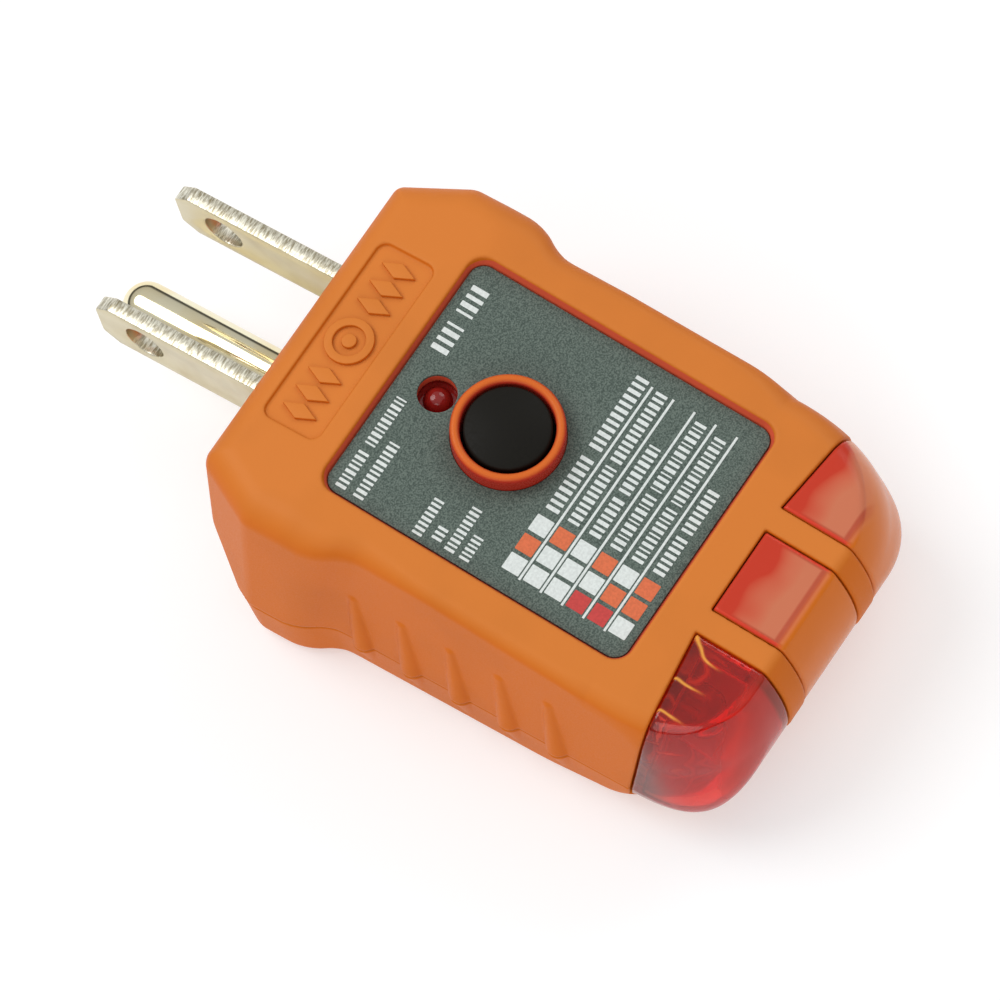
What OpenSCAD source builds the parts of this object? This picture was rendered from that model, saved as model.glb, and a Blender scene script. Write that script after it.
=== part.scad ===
// Three-light outlet tester with a residual-current test button.
// Frame: X across the case, +Y towards the prong tips, +Z out of the label face.
// The back lies on Z = 0 and the whole tester is centred on X = 0 and Y = 0.
// Inside the modules Y = 0 is the plug face; placed() moves it into the frame.

/* [Prongs] */
// Distance between the centres of the two blades
blade_gap = 12.7; // [12.5:0.1:12.9]
// Width of a blade, along Z
blade_w = 6.35; // [6:0.05:6.6]
// Thickness of a blade, along X
blade_t = 1.52; // [1.4:0.02:1.6]
// Reach of a blade in front of the plug face
blade_len = 17.9; // [16:0.1:18.2]
// Diameter of the hole in a blade
blade_hole_d = 4; // [3.6:0.1:4.2]
// Distance from the centre of that hole to the blade's tip
blade_hole_back = 5; // [4.5:0.1:6]
// Diameter of the ground pin
pin_d = 4.75; // [4.6:0.05:4.9]
// Reach of the ground pin in front of the plug face
pin_len = 22.4; // [20:0.1:23]
// Distance from the blades' centre plane down to the ground pin's axis
pin_drop = 11.9; // [11.8:0.05:12]

/* [Case] */
// Height of the flat head above the back
head_z = 24.6; // [24.4:0.1:25.5]
// Height of the parting plane and of the ground pin's axis
part_z = 6.1; // [6:0.1:6.4]
// Reach of the nose behind the plug face
case_len = 55; // [54.5:0.5:56]
// Half width of the grip at the parting plane
grip_x = 18.2; // [18:0.1:18.6]
// Half width of the head at the parting plane
head_x = 20.1; // [19.9:0.1:20.6]
// Where the label slope starts, from the plug face
slope_y = -11.2; // [-11.4:0.1:-11]
// Fall of the label slope towards the nose, in degrees
slope = 8.2; // [7.8:0.1:8.6]
// Wall of the sides and of the back
wall = 1.8; // [1.6:0.1:2]
// Wall under the label
top_wall = 2.6; // [2.4:0.1:2.8]
// Draft of the upper side walls, in degrees
draft_top = 4.5; // [4:0.1:5]
// Draft of the lower side walls, in degrees
draft_base = 3; // [2.5:0.1:3.5]

/* [Label and button] */
// Width of the label
label_w = 25.2; // [24.8:0.1:25.4]
// Length of the label along the slope
label_l = 31.1; // [30.8:0.1:31.2]
// Distance from the start of the slope to the label's centre
label_v = -15.76; // [-15.9:0.01:-15.7]
// Depth of the label's face below the case
label_sink = 0.9; // [0.8:0.05:1]
// Distance from the start of the slope to the button's axis
button_v = -11.54; // [-11.8:0.01:-11.3]
// Radius of the button
button_r = 3.95; // [3.8:0.05:4.1]
// Outer radius of the raised ring around the button
ring_r = 5.15; // [5.1:0.05:5.3]
// Travel of the button
travel = 1.5; // [1:0.1:1.5]
// Distance from the start of the slope to the round window of the indicator
led_v = -4.07; // [-4.2:0.01:-3.9]
// Radius of that round window
led_r = 1.8; // [1.75:0.05:1.9]

/* [Lenses] */
// Inner edge of each outer lens, from the middle
outer_lens_x = 6.9; // [6.8:0.1:7.1]
// Outer edge of the middle lens, from the middle
mid_lens_x = 4.35; // [4.2:0.05:4.4]
// Top edge of the lenses, from the plug face
lens_y = -46.4; // [-46.6:0.1:-46.2]
// Wall of a lens
lens_t = 1.6; // [1.5:0.1:1.7]

/* [Grip] */
// Number of ribs on each side
rib_count = 5; // [3:1:5]
// Distance between two ribs
rib_pitch = 5.2; // [5:0.05:5.25]
// Place of the first rib, from the plug face
rib_y = -16.1; // [-16.3:0.1:-16]

/* [Hidden] */
$fn = 48;

case_orange = [0.85, 0.45, 0.17];
label_grey = [0.34, 0.40, 0.37];
metal = [0.80, 0.74, 0.62];
brass = [0.85, 0.70, 0.35];
tinned = [0.80, 0.80, 0.82];
amber = [0.93, 0.40, 0.20, 0.8];
red = [0.75, 0.10, 0.08, 0.8];

blade_z = part_z + pin_drop;
centre_y = (case_len - pin_len) / 2;
face_top_y = -0.4;                    // plug face where it meets the head
face_part_y = 0.9;                    // plug face at the parting plane
face_base_y = 0.5;                    // plug face at the back
label_t = 0.4;
label_r = 1.4;
gap = 0.1;                            // air between fixed pieces that meet
fit = 0.05;                           // running clearance of a pin in its hole
big = 60;
step_r = 6;                           // radius of both bends of the shoulder
step_h = head_x - grip_x + 0.1;       // the head's outline ends just inside the grip
step_y = -8;                          // where the shoulder starts to turn in
step_lean = 14.5;                     // lean of the upper shoulder, in degrees
step_a = acos(1 - step_h / 2 / step_r);
chamfer_a = 26.6;                     // bevels of the head's sides towards the plug face
chamfer_at = [17.5, 0.1];
upper_chamfer_lean = [3.1, -6.25];
lower_chamfer_lean = [-1.4, 2.7];
bevel_a = 46.6;                       // smaller bevels at the plug face's corners
bevel_at = [16.3, 0.5];
bevel_lean = [-4.3, 4.1];
bevel_z = 13.1;
corner_r = 6.2;                       // plan radius of the nose's corners
nose_z = 12.1;                        // height of the nose's foremost line
nose_upper_r = 13.7;
nose_lower_r = 10.1;
rise_y = -35;                         // where the back starts to rise
rise = 0.2;                           // rise of the back per length
lens_lean = 13;                       // lean of the lenses' rear edge, in degrees
lens_turn = 7;                        // turn of the outer lenses' rear edge, in degrees
lens_top_z = 19.6;                    // height where the lenses' rear edge is at lens_y
lens_base_z = 3.7;                    // lower edge of the lenses
board_w = -11.8;                      // top of the circuit board, below the slope
board_t = 1.6;
board_x = 10.9;
lamp_w = -5;                          // axis of the lamps, below the slope
lamp_r = 2.1;
lamp_v = -31.5;                       // rear end of the lamps
lamp_l = 9.6;
lamp_pitch = 11.2;
lamp_t = 0.35;
tray_w = -8.4;                        // underside of the lamp tray, below the slope
tray_x = 13.4;
tray_h = 5.4;
rib_sink = 0.45;                      // ribs: depth of their axis in the wall
rib_r = 1.25;                         // their radius at the parting plane and at both ends
rib_top_r = 0.8;
rib_base_r = 0.9;
rib_up = 8.6;                         // reach above and below the parting plane
rib_down = 3.4;
sign_y = -5.9;                        // ornament on the head and the field it stands in
sign_r = 2.3;
sign_field = [19.5, 5.9];
sign_depth = 0.35;
lozenge_x = 3.9;
lozenge_pitch = 2.0;
lozenge = [0.8, 1.8];                 // half width and half height
post_r = 2.3;                         // case screws: their posts, holes and counterbores
foot_r = 3.2;
thread_r = 1.15;
screw_hole_r = 1.45;
counterbore_r = 2.5;
counterbore_z = 2.4;
screw_places = [[14.9, -9.6], [-14.9, -9.6], [13.7, -32], [-13.7, -32]];
block_front = -2.7;                   // front and rear of the block that holds the prongs
block_rear = -7.5;
block_x = 10.6;
flange_w = -3.85;                     // underside of the button's flange, below the slope
spring_turns = 6;
spring_r = 2.75;
spring_wire_r = 0.22;
cap_top_w = 1.6;                      // crown of the button's domed top, above the slope
cap_edge_w = 0.9;                     // where the dome may begin
cap_dome_r = 14;
cap_flange_r = 5.6;
disc_r = 1.9;                         // contact disc at the end of the button's stem
disc_t = 0.4;
pad_t = 0.5;
pad_gap = 0.2;                        // left between the disc and the pads at full travel
stem_r = 1.4;
stem_w = board_w + pad_t + pad_gap + travel + disc_t;
led_dome_w = -3.5;                    // indicator: centre of its dome and underside, below the slope
led_base_w = -7;
led_body_r = 1.5;
led_flange_r = 1.75;
led_lead_x = 0.64;
electrode_x = 0.7;
electrode_r = 0.38;
collar_r = pin_d / 2 + 0.5;           // ground pin inside the case
collar_y = 0.95;                      // where the ground pin's collar ends
wire_r = 0.7;
lead_r = 0.25;

// ---- helpers ----

module placed() translate([0, centre_y, 0]) children();

// The label slope's own frame: v runs up the slope, w out of it.
module on_slope(v = 0, w = 0, x = 0)
  translate([0, slope_y, head_z]) rotate([slope, 0, 0]) translate([x, v, w]) children();

function arc(c, r, a0, a1, n = 8) =
  [for (i = [0:n]) c + r * [cos(a0 + (a1 - a0) * i / n), sin(a0 + (a1 - a0) * i / n)]];

function length3(p) = sqrt(p[0] * p[0] + p[1] * p[1] + p[2] * p[2]);

module rounded_rect(w, l, r) {
  square([w - 2 * r, l], center = true);
  square([w, l - 2 * r], center = true);
  for (sx = [-1, 1], sy = [-1, 1]) translate([sx * (w / 2 - r), sy * (l / 2 - r)]) circle(r);
}

// A straight rod between two points.
module rod(a, b, r) {
  d = b - a;
  translate(a) rotate([0, acos(d[2] / length3(d)), atan2(d[1], d[0])]) cylinder(length3(d), r, r);
}

// A wire through a few points, with ball corners.
module wire(points, r) union() {
  for (i = [1:len(points) - 1]) rod(points[i - 1], points[i], r);
  for (i = [1:len(points) - 2]) translate(points[i]) sphere(r + 0.04);
}

// ---- outer form ----

// A prism that leans about X and Y from a plane at height z.
module prism(lean, z = part_z)
  translate([0, 0, z]) rotate([lean[0], lean[1], 0]) linear_extrude(2 * big, center = true) children();

module grip_plan(inset) polygon(concat(
  [[-big, big], [grip_x - inset, big]],
  arc([grip_x - corner_r, corner_r - case_len], corner_r - inset, 0, -90),
  [[-big, inset - case_len]]));

module head_plan(inset) polygon(concat(
  [[-big, big], [head_x - inset, big]],
  arc([head_x - step_r, step_y], step_r - inset, 0, -step_a),
  arc([head_x - step_h + step_r, step_y - 2 * step_r * sin(step_a)], step_r + inset, 180 - step_a, 180),
  [[-big, step_y - 2 * step_r * sin(step_a)]]));

// Half plane behind a line through a point, whose outward side points to angle a.
module half_plane(at, a, inset)
  translate(at) rotate(a) translate([-2 * big - inset, -big]) square([2 * big, 2 * big]);

module side_walls(inset, upper) {
  draft = upper ? -draft_top : draft_base;
  intersection() {
    union() {
      prism([0, draft]) grip_plan(inset);
      prism([upper ? step_lean : 0, draft]) head_plan(inset);
    }
    prism(upper ? upper_chamfer_lean : lower_chamfer_lean) half_plane(chamfer_at, chamfer_a, inset);
    prism(bevel_lean, bevel_z) half_plane(bevel_at, bevel_a, inset);
  }
}

module side_plan(inset, top_inset) {
  top = head_z - top_inset;
  intersection() {
    polygon([[face_top_y - inset, top], [slope_y, top],
      [-big, top - (big + slope_y) * tan(slope)], [-big, inset + (big + rise_y) * rise],
      [rise_y, inset], [face_base_y - inset, inset], [face_part_y - inset, part_z]]);
    union() {
      translate([nose_lower_r - case_len, -big]) square([2 * big, 2 * big]);
      intersection() {
        translate([nose_upper_r - case_len, nose_z]) circle(nose_upper_r - inset, $fn = 96);
        translate([-2 * big, nose_z]) square([2 * big, big]);
      }
      intersection() {
        translate([nose_lower_r - case_len, nose_z]) circle(nose_lower_r - inset, $fn = 96);
        translate([-2 * big, nose_z - big]) square([2 * big, big]);
      }
    }
  }
}

module form(inset, top_inset, upper) intersection() {
  side_walls(inset, upper);
  mirror([1, 0, 0]) side_walls(inset, upper);
  rotate([90, 0, 90]) linear_extrude(2 * big, center = true) side_plan(inset, top_inset);
}

module slab(z0, z1) translate([-big, -1.5 * big, z0]) cube([2 * big, 2.5 * big, z1 - z0]);

module upper_form(inset, top_inset) intersection() {
  form(inset, top_inset, true);
  slab(part_z, big);
}

module lower_form(inset) intersection() {
  form(inset, inset, false);
  slab(-1, part_z);
}

// ---- lens zones: one on each side and one in the middle ----

module lens_zone(x0, x1, turn, grow) intersection() {
  translate([outer_lens_x, lens_y + grow, lens_top_z]) rotate([lens_lean, 0, -turn])
    translate([-big, -2 * big, -big]) cube(2 * big);
  translate([x0 - grow, -2 * big, lens_base_z - grow]) cube([x1 - x0 + 2 * grow, 2 * big, big]);
}

module middle_zone(grow) lens_zone(-mid_lens_x, mid_lens_x, 0, grow);
module outer_zone(grow) lens_zone(outer_lens_x, big, lens_turn, grow);

module lens_zones(grow) {
  middle_zone(grow);
  outer_zone(grow);
  mirror([1, 0, 0]) outer_zone(grow);
}

// The case's form as a thin wall; the lenses are pieces of it.
module lens_wall() {
  difference() {
    upper_form(fit, fit);
    form(lens_t + fit, lens_t + fit, true);
  }
  difference() {
    lower_form(fit);
    form(lens_t + fit, lens_t + fit, false);
  }
}

module middle_lens() placed() intersection() {
  lens_wall();
  middle_zone(0);
}

module outer_lens() placed() intersection() {
  lens_wall();
  outer_zone(0);
}

// ---- case ----

module screw_posts(r, z0, z1)
  for (p = screw_places) translate([p[0], p[1], z0]) cylinder(z1 - z0, r, r);

// Ribs are half-sunk cones that run over the parting plane and sink into the wall at both ends.
module grip_ribs(upper)
  for (side = [-1, 1], i = [0:rib_count - 1])
    translate([side * (grip_x - rib_sink), rib_y - i * rib_pitch, part_z])
      rotate([0, side * (upper ? -draft_top - 0.4 : 180 + draft_base + 6), 0])
        cylinder(upper ? rib_up : rib_down, rib_r, upper ? rib_top_r : rib_base_r);

// A plain ornament: a ring round a dot, with a row of lozenges on both sides.
module head_sign(h) linear_extrude(h) {
  difference() {
    circle(sign_r);
    circle(sign_r - 0.8);
  }
  circle(0.7);
  for (side = [-1, 1], i = [0:2]) translate([side * (lozenge_x + i * lozenge_pitch), 0])
    polygon([[-lozenge[0], 0], [0, -lozenge[1]], [lozenge[0], 0], [0, lozenge[1]]]);
}

module prong_holes() {
  for (side = [-1, 1])
    translate([side * blade_gap / 2, 0, blade_z])
      cube([blade_t + 2 * gap, 20, blade_w + 2 * gap], center = true);
  translate([0, 10, part_z]) rotate([90, 0, 0]) cylinder(20, collar_r + fit, collar_r + fit);
}

module button_ring() on_slope(button_v) rotate_extrude($fn = 96) {
  translate([button_r + 0.3, -2]) square([ring_r - button_r - 0.3, 2.75]);
  translate([(ring_r + button_r + 0.3) / 2, 0.75]) circle((ring_r - button_r - 0.3) / 2);
}

module top_shell() color(case_orange) placed() difference() {
  union() {
    difference() {
      upper_form(0, 0);
      form(wall, top_wall, true);
      on_slope(label_v, -label_sink - label_t) linear_extrude(10)
        rounded_rect(label_w + 0.5, label_l + 0.5, label_r + 0.25);
      translate([0, sign_y, head_z - sign_depth]) linear_extrude(5)
        rounded_rect(sign_field[0], sign_field[1], 1);
    }
    grip_ribs(true);
    intersection() {
      screw_posts(post_r, part_z, head_z);
      form(wall / 2, top_wall - gap, true);
    }
    button_ring();
    translate([0, sign_y, head_z - sign_depth - fit]) head_sign(sign_depth + fit);
  }
  on_slope(button_v, -5) cylinder(10, button_r + 0.3, button_r + 0.3, $fn = 96);
  on_slope(led_v, -5) cylinder(10, led_r + 0.05, led_r + 0.05);
  lens_zones(gap);
  prong_holes();
  screw_posts(thread_r, part_z - 1, part_z + 7);
  slab(-1, part_z + gap / 2);
}

module bottom_shell() color(case_orange) placed() difference() {
  union() {
    difference() {
      lower_form(0);
      form(wall, wall, false);
    }
    grip_ribs(false);
    intersection() {
      screw_posts(foot_r, 0, part_z);
      lower_form(0);
    }
  }
  screw_posts(screw_hole_r, -1, part_z + 1);
  screw_posts(counterbore_r, -1, counterbore_z);
  lens_zones(gap);
  prong_holes();
  slab(part_z - gap / 2, big);
}

module label_panel() color(label_grey) placed() on_slope(label_v, -label_sink - label_t) difference() {
  linear_extrude(label_t) rounded_rect(label_w, label_l, label_r);
  translate([0, button_v - label_v, -1]) cylinder(3, ring_r + 0.05, ring_r + 0.05, $fn = 96);
  translate([0, led_v - label_v, -1]) cylinder(3, led_r, led_r);
}

// ---- button and its contacts ----

module button_cap() color([0.09, 0.08, 0.08]) placed() on_slope(button_v) union() {
  translate([0, 0, flange_w]) cylinder(cap_edge_w - flange_w, button_r, button_r, $fn = 96);
  translate([0, 0, cap_edge_w]) intersection() {
    translate([0, 0, cap_top_w - cap_edge_w - cap_dome_r]) sphere(cap_dome_r, $fn = 96);
    cylinder(2, button_r, button_r, $fn = 96);
  }
  translate([0, 0, flange_w]) cylinder(1, cap_flange_r, cap_flange_r, $fn = 96);
  translate([0, 0, stem_w]) cylinder(6, stem_r, stem_r);
}

module contact_disc() color(brass) placed()
  on_slope(button_v, stem_w - disc_t) cylinder(disc_t, disc_r, disc_r);

// A coil with one closed turn at each end: its height over the turns t = 0..spring_turns.
function coil_z(t, h) = h * min(max(t - 1, 0), spring_turns - 2) / (spring_turns - 2)
  + 2 * spring_wire_r * (min(t, 1) + min(max(t - spring_turns + 1, 0), 1));

module button_spring() color([0.75, 0.75, 0.77]) placed()
on_slope(button_v, board_w + spring_wire_r + 0.02) {
  h = flange_w - board_w - 6 * spring_wire_r - 0.04;
  steps = 20 * spring_turns;
  sides = 8;
  polyhedron(
    points = [for (i = [0:steps], k = [0:sides - 1])
      let (a = 360 * i / 20, b = 360 * k / sides, r = spring_r + spring_wire_r * cos(b))
        [r * cos(a), r * sin(a), coil_z(i / 20, h) + spring_wire_r * sin(b)]],
    faces = concat(
      [[for (k = [0:sides - 1]) k]],
      [for (i = [0:steps - 1], k = [0:sides - 1])
        [i * sides + k, (i + 1) * sides + k,
          (i + 1) * sides + (k + 1) % sides, i * sides + (k + 1) % sides]],
      [[for (k = [0:sides - 1]) (steps + 1) * sides - 1 - k]]));
}

module contact_pads() color(brass) placed() for (side = [-1, 1])
  on_slope(button_v, board_w, side * 1.05) translate([-0.6, -1.2, 0]) cube([1.2, 2.4, pad_t]);

// ---- indicator ----

module indicator_led() color([0.70, 0.08, 0.08]) placed() on_slope(led_v) union() {
  translate([0, 0, led_dome_w]) sphere(led_body_r);
  translate([0, 0, led_base_w]) cylinder(led_dome_w - led_base_w, led_body_r, led_body_r);
  translate([0, 0, led_base_w]) cylinder(0.9, led_flange_r, led_flange_r);
}

module led_spacer() color([0.12, 0.12, 0.12]) placed() on_slope(led_v, board_w) difference() {
  cylinder(led_base_w - board_w, 1.9, 1.9);
  for (side = [-1, 1]) translate([side * led_lead_x, 0, -1]) cylinder(10, lead_r + gap, lead_r + gap);
}

module led_leads() color(tinned) placed() for (side = [-1, 1])
  on_slope(led_v, board_w, side * led_lead_x) cylinder(led_base_w - board_w, lead_r, lead_r);

// ---- lenses, lamps and their tray ----

module lens_right() color(amber) outer_lens();
module lens_middle() color(amber) middle_lens();
module lens_left() color(red) mirror([1, 0, 0]) outer_lens();

module lamp(i) color([0.95, 0.93, 0.90, 0.5]) placed()
  on_slope(lamp_v, lamp_w, i * lamp_pitch) rotate([90, 0, 0]) difference() {
    union() {
      cylinder(lamp_l - lamp_r, lamp_r, lamp_r);
      translate([0, 0, lamp_l - lamp_r]) sphere(lamp_r);
    }
    translate([0, 0, 1.2]) cylinder(lamp_l - lamp_r - 1.2, lamp_r - lamp_t, lamp_r - lamp_t);
    translate([0, 0, lamp_l - lamp_r]) sphere(lamp_r - lamp_t);
  }

module lamp_right() lamp(1);
module lamp_middle() lamp(0);
module lamp_left() lamp(-1);

module lamp_electrodes() color([0.55, 0.52, 0.48]) placed() for (i = [-1:1], side = [-1, 1])
  on_slope(lamp_v - 1.2, lamp_w, i * lamp_pitch + side * electrode_x)
    rotate([90, 0, 0]) cylinder(lamp_l - lamp_r - 1.4, electrode_r, electrode_r);

module lamp_leads() color(tinned) placed() for (i = [-1:1], side = [-1, 1])
  on_slope(0, 0, (i * lamp_pitch + side * electrode_x) * (i == 0 ? 1 : 0.88))
    wire([[0, lamp_v, lamp_w], [0, lamp_v + 1, lamp_w], [0, lamp_v + 1, board_w]], lead_r);

module lamp_tray() color([0.93, 0.92, 0.88]) placed() on_slope(0, tray_w) union() {
  translate([-tray_x, lamp_v - lamp_l, 0]) cube([2 * tray_x, lamp_l - 0.6, 1]);
  for (side = [-1, 1])
    translate([side * (outer_lens_x + mid_lens_x) / 2 - 0.6, lamp_v - lamp_l, 0])
      cube([1.2, lamp_l - 0.6, tray_h]);
}

// ---- circuit ----

module circuit_board() color([0.10, 0.38, 0.22]) placed()
  on_slope(-18.3, board_w - board_t) linear_extrude(board_t) rounded_rect(2 * board_x, 31, 1);

// An axial component: body between two leads that turn down to the board.
module axial(r, l, span) union() {
  translate([-l / 2, 0, 0]) rotate([0, 90, 0]) cylinder(l, r, r);
  for (side = [-1, 1])
    wire([[side * (l / 2 - 0.3), 0, 0], [side * span / 2, 0, 0], [side * span / 2, 0, -r - 0.3]], 0.28);
}

module resistors() color([0.80, 0.70, 0.50]) placed() for (i = [0:2])
  on_slope(-22 - i * 3.1, board_w + 1.4, -5.2) axial(1.1, 5, 8);

module load_resistor() color([0.45, 0.62, 0.66]) placed()
  on_slope(-24.5, board_w + 2.3, 6.2) rotate([0, 0, 90]) axial(2, 8, 10);

module diode() color([0.12, 0.12, 0.12]) placed()
  on_slope(-18.2, board_w + 1.6, -5.2) axial(1.3, 5, 8);

// ---- prongs ----

module blade(side) color(metal) placed() translate([side * blade_gap / 2, 0, blade_z]) rotate([90, 0, 90])
  linear_extrude(blade_t, center = true) difference() {
    union() {
      polygon([[block_rear, -blade_w / 2], [blade_len - 1.6, -blade_w / 2],
        [blade_len, 0.9 - blade_w / 2], [blade_len, blade_w / 2 - 0.9],
        [blade_len - 1.6, blade_w / 2], [block_rear, blade_w / 2]]);
      translate([block_rear - 1.1, -blade_w / 2 - 0.6]) square([1.1, blade_w + 1.2]);
      translate([block_rear - 3.4, -2]) square([4, 4]);
    }
    translate([blade_len - blade_hole_back, 0]) circle(blade_hole_d / 2);
  }

module blade_right() blade(1);
module blade_left() blade(-1);

module ground_pin() color(metal) placed() translate([0, 0, part_z]) rotate([-90, 0, 0]) union() {
  translate([0, 0, block_rear - 2]) cylinder(collar_y - block_rear + 2, collar_r, collar_r);
  translate([0, 0, collar_y - 1]) cylinder(pin_len - pin_d / 2 - collar_y + 1, pin_d / 2, pin_d / 2);
  translate([0, 0, pin_len - pin_d / 2]) sphere(pin_d / 2);
  translate([0, 0, block_rear - 1.2]) cylinder(1.2, 3.2, 3.2);
}

module prong_block() color([0.15, 0.15, 0.16]) placed() difference() {
  translate([-block_x, block_rear, wall + 0.4])
    cube([2 * block_x, block_front - block_rear, head_z - top_wall - wall - 0.8]);
  prong_holes();
}

// The line and neutral wires run from a blade's tail down to the board.
module blade_wire(side) placed() translate([side * blade_gap / 2, 0, 0])
  wire([[0, block_rear - 3.5, blade_z], [0, -14.2, blade_z], [0, -16.3, 12.6]], wire_r);

module line_wire() color([0.12, 0.12, 0.13]) blade_wire(1);
module neutral_wire() color([0.93, 0.93, 0.90]) blade_wire(-1);
module ground_wire() color([0.15, 0.50, 0.25]) placed()
  wire([[0, block_rear - 2.3, part_z], [0, -11.6, 6.4], [0, -13.2, 7.6], [0, -14.2, 9.9]], wire_r);

module case_screws() color([0.55, 0.55, 0.57]) placed() for (p = screw_places)
  translate([p[0], p[1], 0.6]) difference() {
    union() {
      cylinder(1.7, 2.3, 2.3);
      cylinder(11, 1.05, 1.05);
    }
    for (a = [0, 90]) rotate(a) translate([-1.4, -0.3, -1]) cube([2.8, 0.6, 1.9]);
  }

top_shell();
bottom_shell();
label_panel();
button_cap();
contact_disc();
button_spring();
contact_pads();
indicator_led();
led_spacer();
led_leads();
lens_right();
lens_middle();
lens_left();
lamp_right();
lamp_middle();
lamp_left();
lamp_electrodes();
lamp_leads();
lamp_tray();
circuit_board();
blade_right();
blade_left();
ground_pin();
prong_block();
line_wire();
neutral_wire();
ground_wire();
resistors();
load_resistor();
diode();
case_screws();
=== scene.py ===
import math

import bmesh
import bpy
import numpy as np
from mathutils import Matrix, Vector


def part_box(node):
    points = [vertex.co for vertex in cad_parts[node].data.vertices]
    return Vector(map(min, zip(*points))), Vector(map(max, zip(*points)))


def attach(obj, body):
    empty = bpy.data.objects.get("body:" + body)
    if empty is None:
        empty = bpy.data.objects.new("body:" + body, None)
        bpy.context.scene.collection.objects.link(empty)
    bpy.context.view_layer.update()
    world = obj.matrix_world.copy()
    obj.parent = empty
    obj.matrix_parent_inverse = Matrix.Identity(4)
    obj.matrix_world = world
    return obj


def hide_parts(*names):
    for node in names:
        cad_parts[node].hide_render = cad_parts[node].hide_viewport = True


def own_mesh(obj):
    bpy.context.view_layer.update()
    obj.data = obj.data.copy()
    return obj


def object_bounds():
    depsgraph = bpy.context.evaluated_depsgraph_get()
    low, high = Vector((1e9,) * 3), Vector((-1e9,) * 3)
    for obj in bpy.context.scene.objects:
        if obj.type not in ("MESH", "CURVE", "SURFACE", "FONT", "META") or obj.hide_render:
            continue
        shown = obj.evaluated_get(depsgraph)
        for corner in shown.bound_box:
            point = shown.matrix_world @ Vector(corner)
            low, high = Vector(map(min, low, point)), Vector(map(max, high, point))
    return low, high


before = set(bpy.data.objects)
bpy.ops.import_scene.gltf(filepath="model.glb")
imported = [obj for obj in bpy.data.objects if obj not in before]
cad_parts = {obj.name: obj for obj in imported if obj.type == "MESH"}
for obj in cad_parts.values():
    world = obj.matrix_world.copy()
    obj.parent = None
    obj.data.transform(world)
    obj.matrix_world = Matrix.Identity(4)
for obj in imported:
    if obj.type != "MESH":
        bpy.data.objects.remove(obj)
CAD_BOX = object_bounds()

# ---- the design's own sizes
# Millimetres, and degrees in all but SLOPE. Y is measured from the plug face, Z from the back, as in
# the CAD source.
# V and W run along and square to the label slope, from the line where it meets the flat head.
CASE_LEN = 55.0
HEAD_Z = 24.6  # the flat head's height
PART_Z = 6.1  # the parting plane, where the widths below hold
GRIP_X = 18.2  # half the grip's width
HEAD_X = 20.1  # half the head's width
SLOPE_Y = -11.2
SLOPE = math.radians(8.2)
WALL = 1.8
TOP_WALL = 2.6
DRAFT_TOP = 4.5
DRAFT_BASE = 3.0
GAP = 0.1  # play between pieces that meet
FAR = 40.0  # past every side; taken from a field, it switches a cut off

# The shoulder where the head turns in to the grip
STEP_R = 6.0
STEP_Y = -8.0
STEP_LEAN = 14.5
STEP_SQUEEZE = 0.93  # turns a sideways offset into a distance

# The plug end: its leaning faces, and two bevels at each side (a point x, y in plan, and angles)
FACE_Y = 0.9
FACE_BACK = (1.3, 0.4)  # how far the upper and lower face lean back
SIDE_BEVEL_AT = (17.5, 0.1)
SIDE_BEVEL_ANGLE = 26.6
SIDE_BEVEL_LEAN = ((3.1, -6.25), (-1.4, 2.7))  # upper and lower half
TIP_BEVEL_AT = (16.3, 0.5)
TIP_BEVEL_ANGLE = 46.6
TIP_BEVEL_LEAN = (-4.3, 4.1)
TIP_BEVEL_Z = 13.1

# The nose, and the rise of the back behind it
NOSE_Z = 12.1
NOSE_UPPER_R = 13.7
NOSE_LOWER_R = 10.1
CORNER_Z = (4.5, 13.0)  # the nose's corners get rounder with height
CORNER_R = (5.2, 9.5)
CORNER_SKEW = 1.3  # rounder on +X than on -X
RISE_Y = -35.0
RISE = 0.2

# Moulded edge radii
PLUG_EDGE_R = 0.8
HEAD_EDGE_R = (1.3, 2.7)  # at the top, along the grip and along the head
HEAD_EDGE_Y = (-24.0, -12.0)  # where the one turns into the other
TOP_FRONT_R = 0.5  # at the top, round the nose
BASE_EDGE_R = (0.25, 1.5)  # at the back, round the nose and along the sides
OPENING_EDGE_R = 0.22
LABEL_EDGE_R = 0.2
PARTING_EDGE_R = 0.16

# The grip's ribs: cones with round ends, (height, end radius) above and below the parting plane
RIB_COUNT = 5
RIB_PITCH = 5.2
RIB_Y = -16.1
RIB_SINK = 0.45
RIB_R = 1.25
RIB_ENDS = ((8.2, 0.78), (3.4, 0.9))
RIB_LEAN = (0.4, 6.0)  # beyond the wall's draft
RIB_FILLET = 0.1

# Screws, on both sides of the middle
SCREW_PLACES = [(14.9, -9.6), (13.7, -32.0)]
PILOT_R = 1.15
PILOT_DEPTH = 7.0
POST_R = (2.3, 3.2)  # in the top and bottom shell
SHANK_HOLE_R = 1.45
COUNTERBORE_R = 2.5
COUNTERBORE_DEPTH = 2.4

# Label, its recess, and the recess in the head
LABEL_W = 25.2
LABEL_L = 31.1
LABEL_R = 1.4
LABEL_T = 0.4
LABEL_V = -15.76
LABEL_SINK = 0.9
RECESS_GAP = 0.3
RECESS_FLARE = 0.7
RECESS_R = 1.7
SIGN_W = 19.5
SIGN_L = 5.9
SIGN_R = 1.0
SIGN_Y = -5.9
SIGN_SINK = 0.4

# Button, its ring and its spring
BUTTON_V = -11.54
BUTTON_R = 3.95
BUTTON_HOLE_R = BUTTON_R + 0.5
RING_R = 5.15
FLANGE_W = -3.85
FLANGE_R = 5.6
FLANGE_T = 1.0
STEM_R = 1.4
STEM_W = -9.2
BOARD_W = -11.8
SPRING_R = 2.75
SPRING_WIRE_R = 0.22
SPRING_TURNS = 6

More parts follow.
